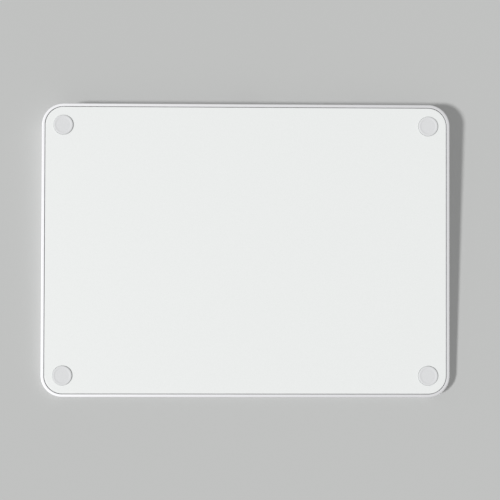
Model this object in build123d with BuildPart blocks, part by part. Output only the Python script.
from build123d import *

import os
from math import atan, cos, sin

# A flat wedge-shaped desk trackpad. A milled aluminium tub closed below by a white cover with four
# round feet carries a battery, a main board, a haptic engine and four force-sensing flexures. A glass
# touch plate floats on the flexures, clicks down a little and is shaken fore and aft by the engine.
# Millimetres. The origin is on the desk under the middle of the pad, +X is to the user's right, +Y is
# away from the user and +Z is up. The pad stands on its feet, and its glass rises towards the back.

# Driving sizes
overall_width = 160.0
overall_depth = 114.9
front_height = 4.9
back_height = 10.9
corner_radius = 8.5
foot_proud = 0.5
press_travel = 0.15
haptic_travel = 0.1
switch_travel = 2.0

# Sizes shared by many pieces
cut_overrun = 1.0
face_gap = 0.1
screw_shank_radius = 0.6
screw_head_radius = 1.1
screw_head_height = 0.35
screw_fit = 0.05
screw_tip_gap = 0.1
small_round_sides = 10
boss_wall = 0.9
flex_thickness = 0.15
chip_height = 0.8
connector_height = 0.8

# Tub
rim_width = 1.2
lip_width = 0.9
wall_thickness = 2.4
floor_thickness = 0.8
bottom_edge_radius = 0.3
relief_width = 0.35
relief_depth = 0.6
lip_chamfer = 0.25
rib_thickness = 0.6
rib_height = 1.2

# Bottom cover and feet
cover_gap = 0.25
cover_thickness = 0.5
cover_edge_chamfer = 0.1
cover_adhesive_thickness = 0.1
adhesive_margin = 1.2
adhesive_band = 9.0
foot_radius = 4.1
foot_edge_chamfer = 0.2
foot_pocket_depth = 0.25
foot_pocket_gap = 0.12
foot_adhesive_thickness = 0.05
foot_adhesive_margin = 0.3

# Touch plate, from the glass down
glass_gap = 0.3
glass_recess = 0.05
glass_thickness = 0.7
glass_edge_chamfer = 0.15
film_thickness = 0.1
sensor_board_thickness = 0.4
stiffener_thickness = 0.3
gel_pad_thickness = 0.4
button_thickness = 0.3
flexure_thickness = 0.3
under_glass_clearance = 0.3
plate_side_clearance = 0.6

# Flexures
pad_inset_x = 18.0
pad_inset_y = 18.0
flexure_width = 14.0
flexure_corner = 1.5
tongue_width = 7.0
tongue_root = 9.0
tongue_slit = 0.9
root_end = 13.0
bay_clearance = 0.3
root_screw_reach = 11.0
root_screw_spread = 4.4
tip_end = 8.0
tip_screw_reach = 6.2
gel_pad_radius = 2.6
button_radius = 2.4
gauge_length = 3.0
gauge_width = 4.0
gauge_thickness = 0.08
gauge_reach = 6.0
flexure_screw_grip = 0.8

# Battery
battery_side_clearance = 0.6
battery_depth = 36.0
battery_height = 3.2
board_battery_gap = 3.6
battery_corner = 1.0
battery_edge_chamfer = 0.4
battery_adhesive_thickness = 0.15
battery_adhesive_width = 20.0
battery_rib_clearance = 0.4
terrace_length = 6.0
terrace_thickness = 0.4
protection_board_thickness = 0.8
protection_board_margin = 0.5
battery_tab_width = 4.0
battery_tab_spacing = 12.0
battery_tab_thickness = 0.15
lead_width = 4.4
lead_reach = 4.0
lead_bend_radius = 0.5

# Main board
board_standoff = 1.4
board_thickness = 0.8
board_depth = 11.5
board_back_clearance = 1.5
board_antenna_gap = 3.0
board_corner = 0.8
board_screw_inset = 2.2
board_left_screw_inset = 14.5
board_screw_grip = 0.9
shield_length = 14.0
shield_depth = 8.6
shield_height = 1.6
shield_chamfer = 0.3
chip_edge_gap = 0.8
controller_length = 6.0
controller_depth = 5.2
memory_length = 4.2
memory_depth = 4.0
driver_length = 3.4
driver_depth = 2.6

# Charging port, with the section of a common reversible receptacle
port_width = 8.94
port_height = 3.16
port_shell_wall = 0.3
port_length = 7.3
port_setback = 0.3
port_hole_clearance = 0.12
port_tongue_width = 6.69
port_tongue_height = 0.7
port_tongue_setback = 0.9
port_plug_length = 1.5
contact_pitch = 0.5
contact_width = 0.25
contact_length = 3.8
contact_thickness = 0.04
contact_setback = 0.3
contact_count = 12
strap_thickness = 0.3
strap_length = 3.4
strap_ear = 2.8
strap_setback = 4.4
strap_screw_grip = 0.6

# Power switch
switch_inset = 7.7
knob_length = 4.6
knob_height = 2.0
knob_clearance = 0.15
knob_setback = 0.15
knob_groove_count = 3
knob_groove_pitch = 1.0
knob_groove_width = 0.3
knob_groove_depth = 0.15
slot_end_clearance = 0.2
carriage_thickness = 0.6
carriage_cover = 0.6
carriage_gap = 0.15
lever_width = 1.2
lever_height = 0.8
lever_gap = 0.2
lever_seat_depth = 0.3
lever_seat_gap = 0.05
switch_body_length = 9.0
switch_body_depth = 3.4
switch_body_height = 3.0
switch_body_wall = 0.6
indicator_thickness = 0.06
indicator_overlap = 0.3

# Haptic engine
engine_gap = 3.6
core_leg_count = 4
core_leg_pitch = 11.0
core_leg_width = 4.6
core_leg_length = 8.5
core_yoke_depth = 3.0
core_thickness = 1.4
bobbin_wall = 0.15
bobbin_flange = 0.3
coil_build = 0.6
coil_length = 5.6
coil_corner = 0.5
bobbin_core_gap = 0.05
coil_floor_clearance = 0.15
armature_clearance = 0.3
armature_depth = 3.0
armature_height = 2.5
armature_overhang = 2.0
bracket_window_gap = 0.4
bracket_margin = 1.5
bracket_ear = 5.0
bracket_screw_grip = 0.35
armature_tab = 5.0
armature_tab_thickness = 0.6

# Flexes, antenna and their connectors
side_flex_width = 2.0
side_flex_end = 3.0
right_flex_inset = 7.1
connector_length = 5.6
connector_depth = 2.4
touch_flex_inset = 13.1
touch_flex_width = 8.0
touch_flex_reach = 2.0
touch_connector_height = 0.7
antenna_length = 11.0
antenna_depth = 7.0
antenna_window_gap = 0.3
antenna_wall_gap = 1.2
antenna_trace_thickness = 0.12
antenna_trace_width = 1.2
antenna_trace_pitch = 2.4
antenna_trace_count = 3
antenna_feed_reach = 1.5

# Levels above the desk
rim_z = foot_proud
cover_top_z = rim_z + cover_thickness
floor_bottom_z = cover_top_z + cover_adhesive_thickness
floor_top_z = floor_bottom_z + floor_thickness
middle_height = (front_height + back_height) / 2

# The sloping plane of the glass, with its own y running up the slope
wedge = atan((back_height - front_height) / overall_depth)
top_plane = Plane(origin=(0, 0, middle_height), x_dir=(1, 0, 0), z_dir=(0, -sin(wedge), cos(wedge)))
slope_length = overall_depth / cos(wedge)

# Depths of the touch plate's layers under that plane
film_top = glass_recess + glass_thickness
sensor_board_top = film_top + film_thickness
stiffener_top = sensor_board_top + sensor_board_thickness
gel_pad_top = stiffener_top + stiffener_thickness
button_top = gel_pad_top + gel_pad_thickness
flexure_top = button_top + button_thickness
flexure_bottom = flexure_top + flexure_thickness
glass_pocket_depth = film_top + press_travel + under_glass_clearance

inner_width = overall_width - 2 * wall_thickness
inner_depth = overall_depth - 2 * wall_thickness
inner_corner = corner_radius - wall_thickness
plate_width = inner_width - 2 * plate_side_clearance
plate_length = inner_depth / cos(wedge) - 2 * plate_side_clearance
plate_corner = inner_corner - plate_side_clearance


def below_glass(depth):
    """The sloping plane this far under the plane of the glass."""
    return top_plane.offset(-depth)


def slope_height(y, depth):
    """Height above the desk of the point at y in the row, this far under the sloping plane."""
    return middle_height + y * (back_height - front_height) / overall_depth - depth / cos(wedge)


def up_slope(y, depth):
    """The slope's own y of the point at y in the row, this far under the sloping plane."""
    return (y - depth * sin(wedge)) / cos(wedge)


def small_round(radius, mode=Mode.ADD):
    """A small round outline, for bores, shanks and bosses, with few enough sides to stay light."""
    return RegularPolygon(radius, small_round_sides, mode=mode)


def finish(piece, name):
    """Names a finished piece and writes it as its own file."""
    piece.part.label = name
    os.makedirs("parts", exist_ok=True)
    export_step(piece.part, f"parts/{name}.step")
    return piece.part


# Where the flexures carry the touch plate, as the slope's own x and y
pad_x = overall_width / 2 - pad_inset_x
pad_v = (overall_depth / 2 - pad_inset_y) / cos(wedge)
corners = {
    "front_left": (-1, -1),
    "front_right": (1, -1),
    "back_left": (-1, 1),
    "back_right": (1, 1),
}
flexure_screws_local = [
    (root_screw_reach, root_screw_spread),
    (root_screw_reach, -root_screw_spread),
    (-tip_screw_reach, 0),
]
flexure_screw_places = [
    (side_x * (pad_x + reach), side_y * pad_v + spread)
    for side_x, side_y in corners.values()
    for reach, spread in flexure_screws_local
]
screw_bore_radius = screw_shank_radius + screw_fit
boss_radius = screw_bore_radius + boss_wall

# Half the room across, between the flexures on the left and those on the right
bay_half = pad_x - tip_end - bay_clearance

# The antenna stands in a window in the floor, in the back right corner of that room
antenna_x = bay_half - antenna_window_gap - antenna_length / 2
antenna_y = overall_depth / 2 - wall_thickness - antenna_wall_gap - antenna_depth / 2

# Main board, from the left flexure to the antenna, along the back wall
board_bottom_z = floor_top_z + board_standoff
board_top_z = board_bottom_z + board_thickness
board_left_x = -bay_half
board_right_x = antenna_x - antenna_length / 2 - antenna_window_gap - board_antenna_gap
board_back_y = overall_depth / 2 - wall_thickness - board_back_clearance
board_front_y = board_back_y - board_depth
board_length = board_right_x - board_left_x
board_middle_x = (board_left_x + board_right_x) / 2
board_middle_y = (board_front_y + board_back_y) / 2
switch_x = board_left_x + switch_inset
right_flex_x = board_right_x - right_flex_inset
touch_flex_x = board_right_x - touch_flex_inset
board_screw_places = [
    (board_left_x + board_left_screw_inset, board_front_y + board_screw_inset),
    (board_right_x - board_screw_inset, board_front_y + board_screw_inset),
    (board_right_x - board_screw_inset, board_back_y - board_screw_inset),
]

# The port and the switch share one level on the back wall
port_z = board_top_z + port_height / 2
port_plane = Plane(origin=(0, overall_depth / 2, port_z), x_dir=(-1, 0, 0), z_dir=(0, 1, 0))
switch_plane = Plane(origin=(switch_x, overall_depth / 2, port_z), x_dir=(-1, 0, 0), z_dir=(0, 1, 0))
slot_length = knob_length + switch_travel + 2 * slot_end_clearance
slot_height = knob_height + 2 * knob_clearance
strap_half = port_width / 2 + face_gap
strap_screw_x = strap_half + strap_thickness + strap_ear / 2
strap_screw_y = overall_depth / 2 - strap_setback - strap_length / 2
strap_screw_places = [(strap_screw_x, strap_screw_y), (-strap_screw_x, strap_screw_y)]

# Battery, in front of the board, with a side flex along each end
battery_length = 2 * (bay_half - side_flex_width - battery_side_clearance)
battery_bottom_z = floor_top_z + battery_adhesive_thickness
battery_back_y = board_front_y - board_battery_gap
battery_middle_y = battery_back_y - battery_depth / 2
rib_offset = battery_depth / 2 + battery_rib_clearance + rib_thickness / 2
rib_back_y = battery_middle_y + rib_offset + rib_thickness / 2
rib_front_y = battery_middle_y - rib_offset - rib_thickness / 2
cell_length = battery_length - terrace_length
side_flex_x = bay_half - side_flex_width / 2
rear_arm_y = (rib_back_y + board_front_y) / 2
engine_arm_y = rib_front_y - engine_gap / 2

# Haptic engine, in front of the battery, with its legs pointing to the user
coil_height = core_thickness + 2 * (bobbin_core_gap + bobbin_wall + coil_build)
coil_width = core_leg_width + 2 * (bobbin_core_gap + bobbin_wall + coil_build)
core_middle_z = floor_top_z + coil_floor_clearance + coil_height / 2
core_bottom_z = core_middle_z - core_thickness / 2
core_length = (core_leg_count - 1) * core_leg_pitch + core_leg_width
yoke_back_y = rib_front_y - engine_gap
yoke_front_y = yoke_back_y - core_yoke_depth
leg_tip_y = yoke_front_y - core_leg_length
leg_middle_y = (yoke_front_y + leg_tip_y) / 2
bracket_thickness = core_bottom_z - floor_top_z
bracket_length = core_length + 2 * (bracket_margin + bracket_ear)
bracket_depth = core_leg_length + core_yoke_depth
bracket_middle_y = (yoke_back_y + leg_tip_y) / 2
bracket_screw_x = (bracket_length - bracket_ear) / 2
bracket_screw_places = [
    (side * bracket_screw_x, bracket_middle_y + end * bracket_depth / 4)
    for side in (-1, 1)
    for end in (-1, 1)
]


# The bosses stand square to the slope, so that the flexures lie parallel to the glass
with BuildPart() as flexure_bosses:
    for boss_x, boss_v in flexure_screw_places:
        boss_y = boss_v * cos(wedge) + flexure_bottom * sin(wedge)
        boss_reach = slope_height(boss_y, flexure_bottom) - floor_top_z + floor_thickness / 2
        with BuildSketch(below_glass(flexure_bottom)):
            with Locations((boss_x, boss_v)):
                small_round(boss_radius)
        extrude(amount=-boss_reach)

with BuildPart() as enclosure:
    with BuildSketch(Plane.XY.offset(rim_z)):
        RectangleRounded(overall_width, overall_depth, corner_radius)
    extrude(amount=back_height)
    split(bisect_by=top_plane, keep=Keep.BOTTOM)
    fillet(enclosure.faces().sort_by(Axis.Z)[0].edges(), bottom_edge_radius)
    chamfer(enclosure.faces().sort_by(Axis.Z)[-1].edges(), lip_chamfer)
    # The shallow recess that takes the bottom cover
    with BuildSketch(Plane.XY.offset(rim_z)):
        RectangleRounded(
            overall_width - 2 * rim_width, overall_depth - 2 * rim_width, corner_radius - rim_width
        )
    extrude(amount=floor_bottom_z - rim_z, mode=Mode.SUBTRACT)
    # The relief groove at the foot of the rim, which the mill leaves so that the cover's edge lies free
    with BuildSketch(Plane.XY.offset(floor_bottom_z)):
        RectangleRounded(
            overall_width - 2 * rim_width, overall_depth - 2 * rim_width, corner_radius - rim_width
        )
        RectangleRounded(
            overall_width - 2 * (rim_width + relief_width),
            overall_depth - 2 * (rim_width + relief_width),
            corner_radius - rim_width - relief_width,
            mode=Mode.SUBTRACT,
        )
    extrude(amount=relief_depth, mode=Mode.SUBTRACT)
    # The well for the electronics
    with BuildSketch(Plane.XY.offset(floor_top_z)):
        RectangleRounded(inner_width, inner_depth, inner_corner)
    extrude(amount=back_height, mode=Mode.SUBTRACT)
    # The pocket that the glass sinks into, with a ledge all round
    with BuildSketch(below_glass(glass_pocket_depth)):
        RectangleRounded(
            overall_width - 2 * lip_width, slope_length - 2 * lip_width, corner_radius - lip_width
        )
    extrude(amount=glass_pocket_depth + cut_overrun, mode=Mode.SUBTRACT)
    add(flexure_bosses.part)
    # Bosses under the main board
    with BuildSketch(Plane.XY.offset(floor_top_z)):
        with Locations(*board_screw_places):
            small_round(boss_radius)
    extrude(amount=board_standoff)
    # Ribs before and behind the battery
    with BuildSketch(Plane.XY.offset(floor_top_z)):
        with Locations((0, battery_middle_y - rib_offset), (0, battery_middle_y + rib_offset)):
            Rectangle(battery_length, rib_thickness)
    extrude(amount=rib_height)
    # Bores for the screws
    with BuildSketch(below_glass(flexure_bottom)):
        with Locations(*flexure_screw_places):
            small_round(screw_bore_radius)
    extrude(amount=-(flexure_screw_grip + screw_tip_gap), mode=Mode.SUBTRACT)
    with BuildSketch(Plane.XY.offset(board_bottom_z)):
        with Locations(*board_screw_places):
            small_round(screw_bore_radius)
    extrude(amount=-(board_screw_grip + screw_tip_gap), mode=Mode.SUBTRACT)
    with BuildSketch(Plane.XY.offset(floor_top_z)):
        with Locations(*bracket_screw_places):
            small_round(screw_bore_radius)
    extrude(amount=-(bracket_screw_grip + screw_tip_gap), mode=Mode.SUBTRACT)
    # The port's hole and the switch's slot through the back wall
    with BuildSketch(port_plane):
        SlotOverall(port_width + 2 * port_hole_clearance, port_height + 2 * port_hole_clearance)
    extrude(amount=-(wall_thickness + cut_overrun), mode=Mode.SUBTRACT)
    with BuildSketch(switch_plane):
        SlotOverall(slot_length, slot_height)
    extrude(amount=-(wall_thickness + cut_overrun), mode=Mode.SUBTRACT)
    # The antenna's window in the floor
    with BuildSketch(Plane.XY.offset(floor_bottom_z)):
        with Locations((antenna_x, antenna_y)):
            Rectangle(antenna_length + 2 * antenna_window_gap, antenna_depth + 2 * antenna_window_gap)
    extrude(amount=floor_thickness, mode=Mode.SUBTRACT)
finish(enclosure, "enclosure")

# Bottom cover, its adhesive and the feet
cover_width = overall_width - 2 * (rim_width + cover_gap)
cover_depth = overall_depth - 2 * (rim_width + cover_gap)
cover_corner = corner_radius - rim_width - cover_gap
foot_inset = corner_radius
foot_spacing_x = overall_width - 2 * foot_inset
foot_spacing_y = overall_depth - 2 * foot_inset
foot_ceiling_z = rim_z + foot_pocket_depth

with BuildPart() as bottom_cover:
    with BuildSketch(Plane.XY.offset(rim_z)):
        RectangleRounded(cover_width, cover_depth, cover_corner)
    extrude(amount=cover_thickness)
    chamfer(bottom_cover.faces().sort_by(Axis.Z)[0].edges(), cover_edge_chamfer)
    with BuildSketch(Plane.XY.offset(rim_z)):
        with GridLocations(foot_spacing_x, foot_spacing_y, 2, 2):
            Circle(foot_radius + foot_pocket_gap)
    extrude(amount=foot_pocket_depth, mode=Mode.SUBTRACT)
finish(bottom_cover, "bottom_cover")

with BuildPart() as cover_adhesive:
    with BuildSketch(Plane.XY.offset(cover_top_z)):
        RectangleRounded(
            cover_width - 2 * adhesive_margin,
            cover_depth - 2 * adhesive_margin,
            cover_corner - adhesive_margin,
        )
        adhesive_window = (cover_width - 2 * adhesive_margin - 3 * adhesive_band) / 2
        with GridLocations(adhesive_window + adhesive_band, 0, 2, 1):
            Rectangle(
                adhesive_window, cover_depth - 2 * (adhesive_margin + adhesive_band), mode=Mode.SUBTRACT
            )
    extrude(amount=cover_adhesive_thickness)
finish(cover_adhesive, "cover_adhesive")

for foot_name, (side_x, side_y) in corners.items():
    with BuildPart() as foot:
        with BuildSketch(Plane.XY):
            with Locations((side_x * foot_spacing_x / 2, side_y * foot_spacing_y / 2)):
                Circle(foot_radius)
        extrude(amount=foot_ceiling_z - foot_adhesive_thickness)
        chamfer(foot.faces().sort_by(Axis.Z)[0].edges(), foot_edge_chamfer)
    finish(foot, f"foot_{foot_name}")

with BuildPart() as foot_adhesive_discs:
    with BuildSketch(Plane.XY.offset(foot_ceiling_z - foot_adhesive_thickness)):
        with GridLocations(foot_spacing_x, foot_spacing_y, 2, 2):
            small_round(foot_radius - foot_adhesive_margin)
    extrude(amount=foot_adhesive_thickness)
finish(foot_adhesive_discs, "foot_adhesive_discs")


def plate_layer(depth, thickness):
    """One full layer of the touch plate, from this depth under the slope down by its thickness."""
    with BuildPart() as layer:
        with BuildSketch(below_glass(depth + thickness)):
            RectangleRounded(plate_width, plate_length, plate_corner)
        extrude(amount=thickness)
    return layer


# Touch plate
with BuildPart() as touch_glass:
    with BuildSketch(below_glass(film_top)):
        RectangleRounded(
            overall_width - 2 * (lip_width + glass_gap),
            slope_length - 2 * (lip_width + glass_gap),
            corner_radius - lip_width - glass_gap,
        )
    extrude(amount=glass_thickness)
    chamfer(touch_glass.faces().sort_by(Axis.Z)[-1].edges(), glass_edge_chamfer)
finish(touch_glass, "touch_glass")

glass_adhesive = plate_layer(film_top, film_thickness)
finish(glass_adhesive, "glass_adhesive")
sensor_board = plate_layer(sensor_board_top, sensor_board_thickness)
finish(sensor_board, "sensor_board")

# The stiffener has a window at the back, where the touch board's chips and connector hang through
chip_window_length = 2 * (touch_flex_x + touch_flex_width)
chip_window_depth = 2 * connector_depth
chip_window_v = up_slope(board_middle_y, gel_pad_top)
armature_front_y = leg_tip_y - haptic_travel - armature_clearance - armature_depth
armature_length = core_length + 2 * armature_overhang
armature_tab_x = armature_length / 2 + armature_tab / 2
armature_v = up_slope(armature_front_y + armature_depth / 2, gel_pad_top)
armature_screw_grip = armature_tab_thickness + stiffener_thickness - screw_tip_gap

with BuildPart() as stiffener_plate:
    with BuildSketch(below_glass(gel_pad_top)):
        RectangleRounded(plate_width, plate_length, plate_corner)
        with Locations((0, chip_window_v)):
            Rectangle(chip_window_length, chip_window_depth, mode=Mode.SUBTRACT)
        with Locations((armature_tab_x, armature_v), (-armature_tab_x, armature_v)):
            small_round(screw_bore_radius, mode=Mode.SUBTRACT)
    extrude(amount=stiffener_thickness)
finish(stiffener_plate, "stiffener_plate")

with BuildPart() as sensor_chips:
    with BuildSketch(below_glass(stiffener_top + chip_height)):
        with Locations((0, chip_window_v), (-touch_flex_x, chip_window_v)):
            Rectangle(2 * connector_depth, connector_depth)
    extrude(amount=chip_height)
    with BuildSketch(below_glass(stiffener_top + touch_connector_height)):
        with Locations((touch_flex_x, chip_window_v)):
            Rectangle(touch_flex_width, connector_depth)
    extrude(amount=touch_connector_height)
finish(sensor_chips, "sensor_chips")

# The steel bar that the haptic engine pulls, hung under the stiffener by a tab at each end
with BuildPart() as armature_bar:
    with BuildSketch(below_glass(gel_pad_top + armature_height)):
        with Locations((0, armature_v)):
            Rectangle(armature_length, armature_depth)
    extrude(amount=armature_height)
    with BuildSketch(below_glass(gel_pad_top + armature_tab_thickness)):
        with Locations((0, armature_v)):
            Rectangle(armature_length + 2 * armature_tab, armature_depth)
        with Locations((armature_tab_x, armature_v), (-armature_tab_x, armature_v)):
            small_round(screw_bore_radius, mode=Mode.SUBTRACT)
    extrude(amount=armature_tab_thickness)
finish(armature_bar, "armature_bar")


def screw_set(planes_and_places, grip):
    """Small screws with flat heads, each with its seat at a place on a plane."""
    with BuildPart() as screws:
        for plane, places in planes_and_places:
            with BuildSketch(plane):
                with Locations(*places):
                    small_round(screw_head_radius)
            extrude(amount=screw_head_height)
            with BuildSketch(plane):
                with Locations(*places):
                    small_round(screw_shank_radius)
            extrude(amount=-grip)
    return screws


# These screws enter from below, so their plane faces down
armature_seat = below_glass(gel_pad_top + armature_tab_thickness)
armature_screw_plane = Plane(origin=armature_seat.origin, x_dir=(1, 0, 0), z_dir=-armature_seat.z_dir)
armature_screws = screw_set(
    [(armature_screw_plane, [(armature_tab_x, -armature_v), (-armature_tab_x, -armature_v)])],
    armature_screw_grip,
)
finish(armature_screws, "armature_screws")

# Force-sensing flexures: spring steel, with a slit that frees a tongue rooted at the outer end
for flexure_name, (side_x, side_y) in corners.items():
    with BuildPart() as flexure:
        with BuildSketch(below_glass(flexure_bottom)):
            with Locations((side_x * (pad_x + (root_end - tip_end) / 2), side_y * pad_v)):
                flexure_plate = Rectangle(root_end + tip_end, flexure_width)
                chamfer(flexure_plate.vertices(), flexure_corner)
            with Locations((side_x * (pad_x + tongue_root / 2), side_y * pad_v)):
                Rectangle(tongue_root, tongue_width + 2 * tongue_slit, mode=Mode.SUBTRACT)
            with Locations((side_x * pad_x, side_y * pad_v)):
                Circle(tongue_width / 2 + tongue_slit, mode=Mode.SUBTRACT)
                Circle(tongue_width / 2)
            with Locations((side_x * (pad_x + (tongue_root + tongue_slit) / 2), side_y * pad_v)):
                Rectangle(tongue_root + tongue_slit, tongue_width)
            with Locations(
                *[
                    (side_x * (pad_x + reach), side_y * pad_v + spread)
                    for reach, spread in flexure_screws_local
                ]
            ):
                small_round(screw_bore_radius, mode=Mode.SUBTRACT)
        extrude(amount=flexure_thickness)
    finish(flexure, f"flexure_{flexure_name}")

with BuildPart() as strain_gauges:
    with BuildSketch(below_glass(flexure_top)):
        with Locations(
            *[(side_x * (pad_x + gauge_reach), side_y * pad_v) for side_x, side_y in corners.values()]
        ):
            Rectangle(gauge_length, gauge_width)
    extrude(amount=gauge_thickness)
finish(strain_gauges, "strain_gauges")

flexure_screws = screw_set(
    [(below_glass(flexure_top), flexure_screw_places)], flexure_thickness + flexure_screw_grip
)
finish(flexure_screws, "flexure_screws")

with BuildPart() as load_buttons:
    with BuildSketch(below_glass(flexure_top)):
        with GridLocations(2 * pad_x, 2 * pad_v, 2, 2):
            small_round(button_radius)
    extrude(amount=button_thickness)
finish(load_buttons, "load_buttons")

with BuildPart() as gel_pads:
    with BuildSketch(below_glass(button_top)):
        with GridLocations(2 * pad_x, 2 * pad_v, 2, 2):
            small_round(gel_pad_radius)
    extrude(amount=gel_pad_thickness)
finish(gel_pads, "gel_pads")

# Battery: a pouch cell whose terrace, at its left end, carries a protection board
cell_middle_x = terrace_length / 2
terrace_x = -(battery_length - terrace_length) / 2
protection_board_z = battery_bottom_z + terrace_thickness
protection_board_top_z = protection_board_z + protection_board_thickness
protection_board_length = battery_depth - 2 * (battery_corner + protection_board_margin)

with BuildPart() as battery_cell:
    with BuildSketch(Plane.XY.offset(battery_bottom_z)):
        with Locations((cell_middle_x, battery_middle_y)):
            RectangleRounded(cell_length, battery_depth, battery_corner)
    extrude(amount=battery_height)
    chamfer(battery_cell.faces().sort_by(Axis.Z)[-1].edges(), battery_edge_chamfer)
    with BuildSketch(Plane.XY.offset(battery_bottom_z)):
        with Locations((terrace_x + battery_corner / 2, battery_middle_y)):
            Rectangle(terrace_length + battery_corner, battery_depth - 2 * battery_corner)
    extrude(amount=terrace_thickness)
finish(battery_cell, "battery_cell")

with BuildPart() as battery_protection_board:
    with BuildSketch(Plane.XY.offset(protection_board_z)):
        with Locations((terrace_x, battery_middle_y)):
            Rectangle(terrace_length - 2 * protection_board_margin, protection_board_length)
    extrude(amount=protection_board_thickness)
finish(battery_protection_board, "battery_protection_board")

with BuildPart() as battery_tabs:
    with BuildSketch(Plane.XY.offset(protection_board_top_z)):
        with Locations((terrace_x + protection_board_margin, battery_middle_y)):
            with GridLocations(0, battery_tab_spacing, 1, 2):
                Rectangle(terrace_length - 2 * protection_board_margin, battery_tab_width)
    extrude(amount=battery_tab_thickness)
finish(battery_tabs, "battery_tabs")

with BuildPart() as battery_adhesive_strips:
    with BuildSketch(Plane.XY.offset(floor_top_z)):
        with Locations((cell_middle_x, battery_middle_y)):
            with GridLocations(cell_length - battery_adhesive_width - 2 * battery_corner, 0, 2, 1):
                Rectangle(battery_adhesive_width, battery_depth - 2 * battery_corner)
    extrude(amount=battery_adhesive_thickness)
finish(battery_adhesive_strips, "battery_adhesive_strips")

# A flat lead climbs from the protection board to its connector on the main board
connector_top_z = board_top_z + connector_height
lead_connector_y = board_front_y + board_screw_inset
lead_low_z = protection_board_top_z + flex_thickness / 2
lead_high_z = connector_top_z + flex_thickness / 2
with BuildPart() as battery_lead:
    with BuildSketch(Plane.YZ.offset(terrace_x - lead_width / 2)):
        with BuildLine():
            FilletPolyline(
                (battery_middle_y + protection_board_length / 2 - lead_reach, lead_low_z),
                (battery_back_y + battery_rib_clearance, lead_low_z),
                (board_front_y - battery_rib_clearance, lead_high_z),
                (lead_connector_y + connector_depth / 2, lead_high_z),
                radius=lead_bend_radius,
            )
        trace(line_width=flex_thickness)
    extrude(amount=lead_width)
finish(battery_lead, "battery_lead")

# Main board with its chips, shield and connectors
with BuildPart() as main_board:
    with BuildSketch(Plane.XY.offset(board_bottom_z)):
        with Locations((board_middle_x, board_middle_y)):
            board_outline = Rectangle(board_length, board_depth)
            chamfer(board_outline.vertices(), board_corner)
        with Locations(*board_screw_places, *strap_screw_places):
            small_round(screw_bore_radius, mode=Mode.SUBTRACT)
    extrude(amount=board_thickness)
finish(main_board, "main_board")

main_board_screws = screw_set(
    [(Plane.XY.offset(board_top_z), board_screw_places)], board_thickness + board_screw_grip
)
finish(main_board_screws, "main_board_screws")

# Two chips in front of the port, and two drivers behind the touch connector
front_row_y = board_front_y + chip_edge_gap
back_row_y = board_back_y - chip_edge_gap
controller_x = (controller_length + chip_edge_gap) / 2
memory_x = -(memory_length + chip_edge_gap) / 2
driver_pitch = driver_length + chip_edge_gap
chips = [
    (controller_x, front_row_y + controller_depth / 2, controller_length, controller_depth),
    (memory_x, front_row_y + memory_depth / 2, memory_length, memory_depth),
    (touch_flex_x, back_row_y - driver_depth / 2, driver_length, driver_depth),
    (touch_flex_x + driver_pitch, back_row_y - driver_depth / 2, driver_length, driver_depth),
]
with BuildPart() as main_board_chips:
    for chip_x, chip_y, chip_length, chip_depth in chips:
        with BuildSketch(Plane.XY.offset(board_top_z)):
            with Locations((chip_x, chip_y)):
                Rectangle(chip_length, chip_depth)
        extrude(amount=chip_height)
finish(main_board_chips, "main_board_chips")

shield_x = board_left_x + board_left_screw_inset + screw_head_radius + chip_edge_gap + shield_length / 2
with BuildPart() as radio_shield_can:
    with BuildSketch(Plane.XY.offset(board_top_z)):
        with Locations((shield_x, board_middle_y)):
            Rectangle(shield_length, shield_depth)
    extrude(amount=shield_height)
    chamfer(radio_shield_can.edges().filter_by(Axis.Z), shield_chamfer)
    chamfer(radio_shield_can.faces().sort_by(Axis.Z)[-1].edges(), shield_chamfer)
finish(radio_shield_can, "radio_shield_can")

# Connectors for the battery and the touch plate on the board, and for the side flexes under it
flex_top_z = floor_top_z + flex_thickness
left_connector_y = board_back_y - board_screw_inset - side_flex_end
right_connector_y = board_front_y + board_screw_inset
with BuildPart() as board_connectors:
    with BuildSketch(Plane.XY.offset(board_top_z)):
        with Locations((terrace_x, lead_connector_y)):
            Rectangle(connector_length, connector_depth)
        with Locations((touch_flex_x, board_middle_y)):
            Rectangle(touch_flex_width, connector_depth)
    extrude(amount=connector_height)
    with BuildSketch(Plane.XY.offset(flex_top_z)):
        with Locations((-side_flex_x, left_connector_y)):
            Rectangle(side_flex_width, side_flex_end)
        with Locations((right_flex_x, right_connector_y)):
            Rectangle(side_flex_end, side_flex_width)
    extrude(amount=board_bottom_z - flex_top_z)
finish(board_connectors, "board_connectors")

# Charging port
with BuildPart() as port_shell:
    with BuildSketch(port_plane.offset(-port_setback)):
        SlotOverall(port_width, port_height)
        SlotOverall(port_width - 2 * port_shell_wall, port_height - 2 * port_shell_wall, mode=Mode.SUBTRACT)
    extrude(amount=-port_length)
finish(port_shell, "port_shell")

port_back = port_setback + port_length
with BuildPart() as port_tongue:
    with BuildSketch(port_plane.offset(-port_back)):
        SlotOverall(port_width - 2 * port_shell_wall, port_height - 2 * port_shell_wall)
    extrude(amount=port_plug_length)
    with BuildSketch(port_plane.offset(-port_back)):
        Rectangle(port_tongue_width, port_tongue_height)
    extrude(amount=port_length - port_tongue_setback)
finish(port_tongue, "port_tongue")

with BuildPart() as port_contacts:
    contact_depth = port_setback + port_tongue_setback + contact_setback + contact_length
    with BuildSketch(port_plane.offset(-contact_depth)):
        with GridLocations(contact_pitch, port_tongue_height + contact_thickness, contact_count, 2):
            Rectangle(contact_width, contact_thickness)
    extrude(amount=contact_length)
finish(port_contacts, "port_contacts")

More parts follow.
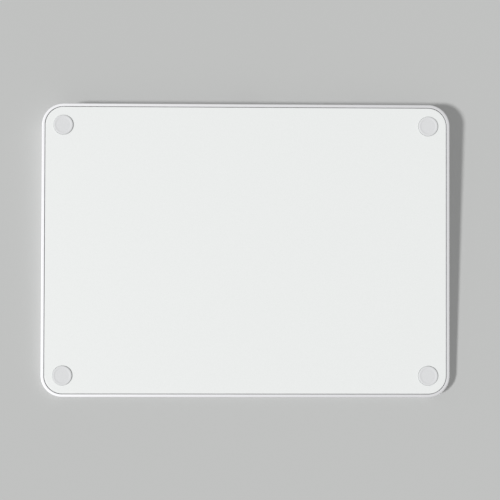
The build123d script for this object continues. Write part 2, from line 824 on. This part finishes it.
# A steel strap bent over the port's shell, with a screwed ear on each side
strap_outer = strap_half + strap_thickness
strap_end = strap_outer + strap_ear
strap_foot = -port_height / 2
strap_roof = port_height / 2 + face_gap
with BuildPart() as port_bracket:
    with BuildSketch(port_plane.offset(-strap_setback)):
        with BuildLine():
            Polyline(
                (-strap_end, strap_foot),
                (-strap_end, strap_foot + strap_thickness),
                (-strap_outer, strap_foot + strap_thickness),
                (-strap_outer, strap_roof + strap_thickness),
                (strap_outer, strap_roof + strap_thickness),
                (strap_outer, strap_foot + strap_thickness),
                (strap_end, strap_foot + strap_thickness),
                (strap_end, strap_foot),
                (strap_half, strap_foot),
                (strap_half, strap_roof),
                (-strap_half, strap_roof),
                (-strap_half, strap_foot),
                close=True,
            )
        make_face()
    extrude(amount=-strap_length)
    with BuildSketch(Plane.XY.offset(board_top_z)):
        with Locations(*strap_screw_places):
            small_round(screw_bore_radius)
    extrude(amount=strap_thickness, mode=Mode.SUBTRACT)
finish(port_bracket, "port_bracket")

port_bracket_screws = screw_set(
    [(Plane.XY.offset(board_top_z + strap_thickness), strap_screw_places)],
    strap_thickness + strap_screw_grip,
)
finish(port_bracket_screws, "port_bracket_screws")

# Power switch: a knob in the wall's slot, on a carriage that moves the switch's lever. The switch is
# drawn off, with the knob at one end of its slot and its green mark hidden behind the wall.
carriage_length = slot_length + switch_travel + 2 * carriage_cover
carriage_height = slot_height + 2 * carriage_cover
carriage_outer_depth = wall_thickness + carriage_gap
lever_tip_depth = carriage_outer_depth + carriage_thickness - lever_seat_depth
switch_face_depth = wall_thickness + board_back_clearance
lever_back_depth = switch_face_depth + switch_body_depth - switch_body_wall - lever_gap
groove_depth_from_wall = knob_setback + knob_groove_depth

with BuildPart() as switch_knob:
    with BuildSketch(switch_plane.offset(-carriage_outer_depth)):
        with Locations((switch_travel / 2, 0)):
            SlotOverall(knob_length, knob_height)
    extrude(amount=carriage_outer_depth - knob_setback)
    with BuildSketch(switch_plane.offset(-carriage_outer_depth - carriage_thickness)):
        with Locations((switch_travel / 2, 0)):
            Rectangle(carriage_length, carriage_height)
    extrude(amount=carriage_thickness)
    with BuildSketch(switch_plane.offset(-carriage_outer_depth - carriage_thickness)):
        with Locations((switch_travel / 2, 0)):
            Rectangle(lever_width + 2 * lever_seat_gap, lever_height + 2 * lever_seat_gap)
    extrude(amount=lever_seat_depth + lever_seat_gap, mode=Mode.SUBTRACT)
    with BuildSketch(switch_plane.offset(-groove_depth_from_wall)):
        with Locations((switch_travel / 2, 0)):
            with GridLocations(knob_groove_pitch, 0, knob_groove_count, 1):
                Rectangle(knob_groove_width, knob_height)
    extrude(amount=knob_groove_depth, mode=Mode.SUBTRACT)
finish(switch_knob, "switch_knob")

with BuildPart() as switch_indicator:
    with BuildSketch(switch_plane.offset(-carriage_outer_depth)):
        indicator_length = switch_travel + slot_end_clearance + indicator_overlap
        with Locations((switch_travel / 2 + (knob_length + indicator_length) / 2, 0)):
            Rectangle(indicator_length, slot_height)
    extrude(amount=indicator_thickness)
finish(switch_indicator, "switch_indicator")

with BuildPart() as switch_lever:
    with BuildSketch(switch_plane.offset(-lever_back_depth)):
        with Locations((switch_travel / 2, 0)):
            Rectangle(lever_width, lever_height)
    extrude(amount=lever_back_depth - lever_tip_depth)
finish(switch_lever, "switch_lever")

with BuildPart() as switch_housing:
    with BuildSketch(Plane.XY.offset(board_top_z)):
        with Locations((switch_x, board_back_y - switch_body_depth / 2)):
            Rectangle(switch_body_length, switch_body_depth)
    extrude(amount=switch_body_height)
    with BuildSketch(switch_plane.offset(-switch_face_depth)):
        Rectangle(lever_width + switch_travel + 2 * lever_gap, lever_height + 2 * lever_gap)
    extrude(amount=-(switch_body_depth - switch_body_wall), mode=Mode.SUBTRACT)
finish(switch_housing, "switch_housing")


# Haptic engine: a comb of steel laminations with a coil on each leg, on a bracket with coil windows
def across_legs(y, length, height, corner=0):
    """An outline round each leg, its corners cut off, in an upright plane across the legs at this y."""
    upright = Plane(origin=(0, y, core_middle_z), x_dir=(1, 0, 0), z_dir=(0, 1, 0))
    with BuildSketch(upright) as outlines:
        with GridLocations(core_leg_pitch, 0, core_leg_count, 1):
            Rectangle(length, height)
        if corner:
            chamfer(outlines.vertices(), corner)
    return outlines.sketch


with BuildPart() as haptic_core:
    with BuildSketch(Plane.XY.offset(core_bottom_z)):
        with Locations((0, (yoke_back_y + yoke_front_y) / 2)):
            Rectangle(core_length, core_yoke_depth)
        with Locations((0, leg_middle_y)):
            with GridLocations(core_leg_pitch, 0, core_leg_count, 1):
                Rectangle(core_leg_width, core_leg_length)
    extrude(amount=core_thickness)
finish(haptic_core, "haptic_core")

bobbin_start_y = leg_middle_y - coil_length / 2 - bobbin_flange
coil_start_y = leg_middle_y - coil_length / 2
coil_end_y = leg_middle_y + coil_length / 2
bore_length = core_leg_width + 2 * bobbin_core_gap
bore_height = core_thickness + 2 * bobbin_core_gap
tube_length = bore_length + 2 * bobbin_wall
tube_height = bore_height + 2 * bobbin_wall

with BuildPart() as haptic_bobbins:
    bobbin_length = coil_length + 2 * bobbin_flange
    extrude(across_legs(bobbin_start_y, tube_length, tube_height), bobbin_length)
    for flange_y in (bobbin_start_y, coil_end_y):
        extrude(across_legs(flange_y, coil_width, coil_height, coil_corner), bobbin_flange)
    bore_outlines = across_legs(bobbin_start_y, bore_length, bore_height)
    extrude(bore_outlines, bobbin_length, mode=Mode.SUBTRACT)
finish(haptic_bobbins, "haptic_bobbins")

with BuildPart() as haptic_coils:
    extrude(across_legs(coil_start_y, coil_width, coil_height, coil_corner), coil_length)
    extrude(across_legs(coil_start_y, tube_length, tube_height), coil_length, mode=Mode.SUBTRACT)
finish(haptic_coils, "haptic_coils")

with BuildPart() as haptic_bracket:
    with BuildSketch(Plane.XY.offset(floor_top_z)):
        with Locations((0, bracket_middle_y)):
            bracket_outline = Rectangle(bracket_length, bracket_depth)
            chamfer(bracket_outline.vertices(), bracket_margin)
        with Locations((0, leg_middle_y)):
            with GridLocations(core_leg_pitch, 0, core_leg_count, 1):
                Rectangle(
                    coil_width + 2 * bracket_window_gap,
                    coil_length + 2 * (bobbin_flange + bracket_window_gap),
                    mode=Mode.SUBTRACT,
                )
        with Locations(*bracket_screw_places):
            small_round(screw_bore_radius, mode=Mode.SUBTRACT)
    extrude(amount=bracket_thickness)
finish(haptic_bracket, "haptic_bracket")

haptic_screws = screw_set(
    [(Plane.XY.offset(core_bottom_z), bracket_screw_places)], bracket_thickness + bracket_screw_grip
)
finish(haptic_screws, "haptic_screws")

# Flat flexes on the floor, from the flexures on each side to the main board
with BuildPart() as left_flex_cable:
    with BuildSketch(Plane.XY.offset(floor_top_z)):
        left_start_y = -pad_v - flexure_width / 2
        left_end_y = left_connector_y + side_flex_end / 2
        with Locations((-side_flex_x, (left_start_y + left_end_y) / 2)):
            Rectangle(side_flex_width, left_end_y - left_start_y)
        with Locations((-(side_flex_x + core_length / 2) / 2, engine_arm_y)):
            Rectangle(side_flex_x - core_length / 2, side_flex_width)
    extrude(amount=flex_thickness)
finish(left_flex_cable, "left_flex_cable")

with BuildPart() as right_flex_cable:
    with BuildSketch(Plane.XY.offset(floor_top_z)):
        right_end_y = rear_arm_y + side_flex_width / 2
        with Locations((side_flex_x, (left_start_y + right_end_y) / 2)):
            Rectangle(side_flex_width, right_end_y - left_start_y)
        arm_start_x = right_flex_x - side_flex_end / 2
        arm_end_x = side_flex_x + side_flex_width / 2
        with Locations(((arm_start_x + arm_end_x) / 2, rear_arm_y)):
            Rectangle(arm_end_x - arm_start_x, side_flex_width)
        tail_start_y = rear_arm_y - side_flex_width / 2
        tail_end_y = right_connector_y + side_flex_width / 2
        with Locations((right_flex_x, (tail_start_y + tail_end_y) / 2)):
            Rectangle(side_flex_end, tail_end_y - tail_start_y)
    extrude(amount=flex_thickness)
finish(right_flex_cable, "right_flex_cable")

# The touch plate's flex folds over in a loop, so that the plate can move
fold_depth = stiffener_top + touch_connector_height + flex_thickness / 2
fold_start_v = chip_window_v + connector_depth / 2
fold_end_v = chip_window_v - touch_flex_reach
fold_start_y = fold_start_v * cos(wedge) + fold_depth * sin(wedge)
fold_end_y = fold_end_v * cos(wedge) + fold_depth * sin(wedge)
fold_end_z = slope_height(fold_end_y, fold_depth)
loop_radius = (fold_end_z - lead_high_z) / (1 + cos(wedge))
loop_end_y = fold_end_y + loop_radius * sin(wedge)
with BuildPart() as touch_flex_cable:
    with BuildSketch(Plane.YZ.offset(touch_flex_x - touch_flex_width / 2)):
        with BuildLine():
            Line((fold_start_y, slope_height(fold_start_y, fold_depth)), (fold_end_y, fold_end_z))
            TangentArc(
                (fold_end_y, fold_end_z), (loop_end_y, lead_high_z), tangent=(-cos(wedge), -sin(wedge))
            )
            Line((loop_end_y, lead_high_z), (board_middle_y + connector_depth / 2, lead_high_z))
        trace(line_width=flex_thickness)
    extrude(amount=touch_flex_width)
finish(touch_flex_cable, "touch_flex_cable")

# Antenna on a plastic carrier that fills its window in the floor
with BuildPart() as antenna_carrier:
    with BuildSketch(Plane.XY.offset(floor_bottom_z)):
        with Locations((antenna_x, antenna_y)):
            Rectangle(antenna_length, antenna_depth)
    extrude(amount=board_top_z - floor_bottom_z)
finish(antenna_carrier, "antenna_carrier")

# The trace is a comb of copper whose foot reaches over onto the main board
antenna_left_x = antenna_x - antenna_length / 2
comb_length = antenna_length - 2 * antenna_trace_width
foot_left_x = board_right_x - antenna_feed_reach
comb_right_x = antenna_left_x + antenna_trace_width + comb_length
with BuildPart() as antenna_trace:
    with BuildSketch(Plane.XY.offset(board_top_z)):
        with Locations((antenna_x, antenna_y)):
            with GridLocations(0, antenna_trace_pitch, 1, antenna_trace_count):
                Rectangle(comb_length, antenna_trace_width)
        with Locations((antenna_left_x + 3 * antenna_trace_width / 2, antenna_y)):
            Rectangle(antenna_trace_width, (antenna_trace_count - 1) * antenna_trace_pitch)
        with Locations(((foot_left_x + comb_right_x) / 2, antenna_y - antenna_trace_pitch)):
            Rectangle(comb_right_x - foot_left_x, antenna_trace_width)
    extrude(amount=antenna_trace_thickness)
finish(antenna_trace, "antenna_trace")
